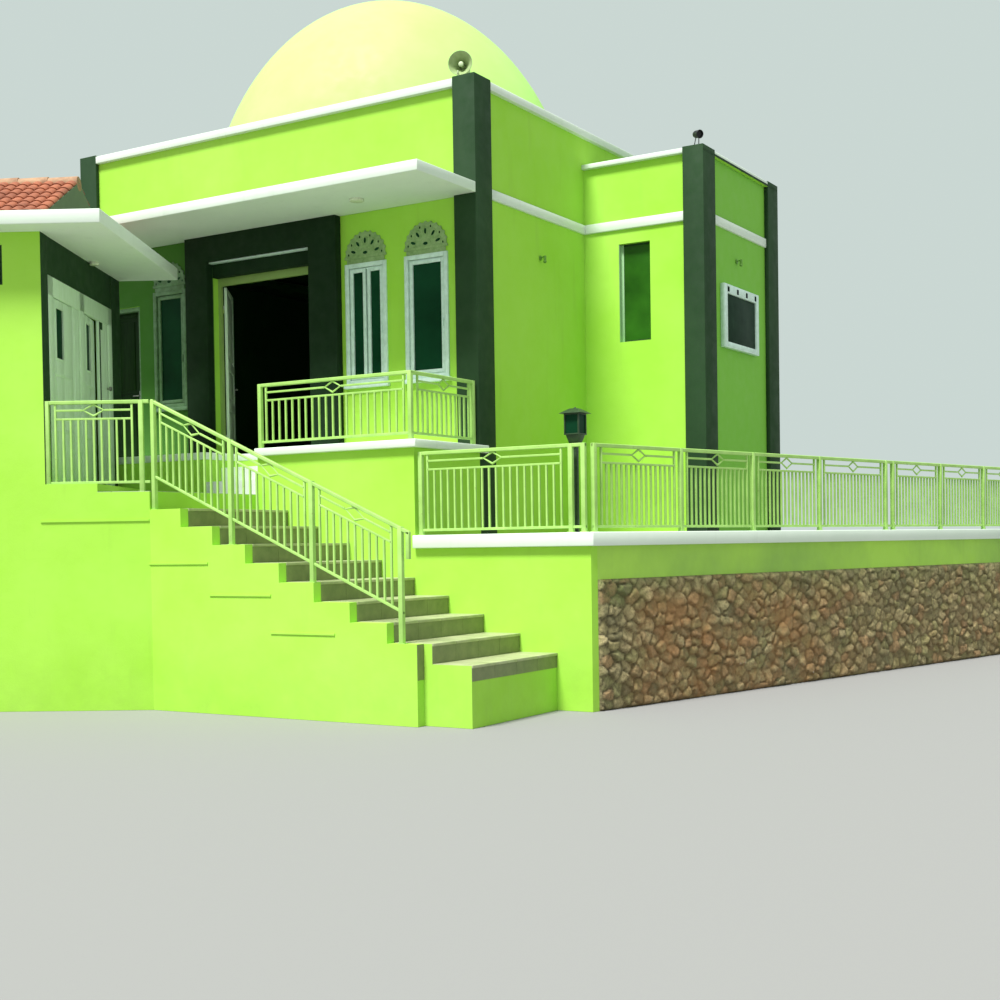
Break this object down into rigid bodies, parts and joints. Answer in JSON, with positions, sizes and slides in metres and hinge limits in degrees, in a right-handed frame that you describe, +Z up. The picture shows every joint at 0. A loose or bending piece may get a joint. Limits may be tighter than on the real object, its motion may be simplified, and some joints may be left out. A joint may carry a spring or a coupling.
{
  "type": "mosque building",
  "caption": "Small square domed mosque hall with a side wing, canopied porch, turned annex, outside stair and a railed terrace on a stone wall.",
  "frame": {"origin": "centre of the footprint box at the lowest ground", "axes": "+X along the hall front to the right, +Y into the depth of the hall, +Z up"},
  "size_m": [12.3201, 14.3484, 9.815],
  "materials": {
    "wall_render": "painted lime render, matt",
    "white_render": "white painted render, matt",
    "dark_render": "dark grey-green painted render",
    "dome_paint": "pale yellow-green paint",
    "railing_paint": "pale green gloss paint",
    "rubble_stone": "split rubble stone in mortar",
    "floor_tile": "pale grey floor tile",
    "roof_tile": "orange clay roof tile",
    "white_joinery": "white painted frames",
    "white_door": "white painted timber",
    "dark_door": "dark stained timber",
    "board": "white board in a painted frame",
    "loudspeaker": "grey-green painted fittings"
  },
  "bodies": {
    "building": {"annex_walls": "wall_render", "annex_wall_over_doors": "dark_render", "annex_slab": "white_render", "annex_tiled_roof": "roof_tile", "annex_door_frame": "white_door", "landing_railing": "railing_paint", "hall_plinth": "wall_render", "hall_walls": "wall_render", "wall_over_side_door": "wall_render", "front_wall_left": "wall_render", "wall_over_portal": "wall_render", "front_wall_right": "wall_render", "hall_roof": "white_render", "dome": "dome_paint", "hall_parapet": "wall_render", "hall_coping": "white_render", "pilaster_front_right": "dark_render", "pilaster_front_left": "dark_render", "pilaster_back_right": "dark_render", "pilaster_back_left": "dark_render", "pilaster_wing_front": "dark_render", "pilaster_wing_back": "dark_render", "front_canopy": "white_render", "entry_portal": "dark_render", "portal_frame": "railing_paint", "side_door_frame": "white_joinery", "window_front_left": "white_joinery", "window_front_middle": "white_joinery", "window_front_right": "white_joinery", "wing_walls": "wall_render", "wing_parapet": "wall_render", "wing_roof": "white_render", "wing_coping": "white_render", "window_wing": "white_joinery", "notice_board": "board", "porch_platform": "wall_render", "porch_slab": "white_render", "porch_steps": "floor_tile", "landing_base": "wall_render", "stair_flight": "floor_tile", "stair_stringer": "wall_render", "terrace_base": "wall_render", "road_stone_wall": "rubble_stone", "road_wall_band": "wall_render", "terrace_coping": "white_render", "porch_railing_front": "railing_paint", "porch_railing_side": "railing_paint", "stair_railing": "railing_paint", "terrace_railing": "railing_paint", "road_railing": "railing_paint", "loudspeaker_horn": "loudspeaker", "small_loudspeaker": "loudspeaker", "garden_lantern": "loudspeaker"},
    "portal_door_left": {"portal_leaf_left": "white_door"},
    "portal_door_right": {"portal_leaf_right": "white_door"},
    "side_door": {"side_door_leaf": "dark_door"},
    "annex_door_near": {"annex_leaf_near": "white_door"},
    "annex_door_far": {"annex_leaf_far": "white_door"}
  },
  "joints": [
    {"name": "portal_left_hinge", "type": "hinge", "parent": "building", "child": "portal_door_left", "pos_m": [-2.684, -1.215, 4.1], "axis": [0, 0, 1], "range_deg": [-126, 20]},
    {"name": "portal_right_hinge", "type": "hinge", "parent": "building", "child": "portal_door_right", "pos_m": [-1.039, -1.215, 4.1], "axis": [0, 0, -1], "range_deg": [-105, 40]},
    {"name": "side_door_hinge", "type": "hinge", "parent": "building", "child": "side_door", "pos_m": [-4.789, -1.215, 4], "axis": [0, 0, 1], "range_deg": [0, 100]},
    {"name": "annex_near_hinge", "type": "hinge", "parent": "building", "child": "annex_door_near", "pos_m": [-1.9717, -4.85741, 3.5], "axis": [0, 0, 1], "range_deg": [0, 100]},
    {"name": "annex_far_hinge", "type": "hinge", "parent": "building", "child": "annex_door_far", "pos_m": [-2.5217, -3.90478, 3.5], "axis": [0, 0, 1], "range_deg": [-6, 94]}
  ]
}
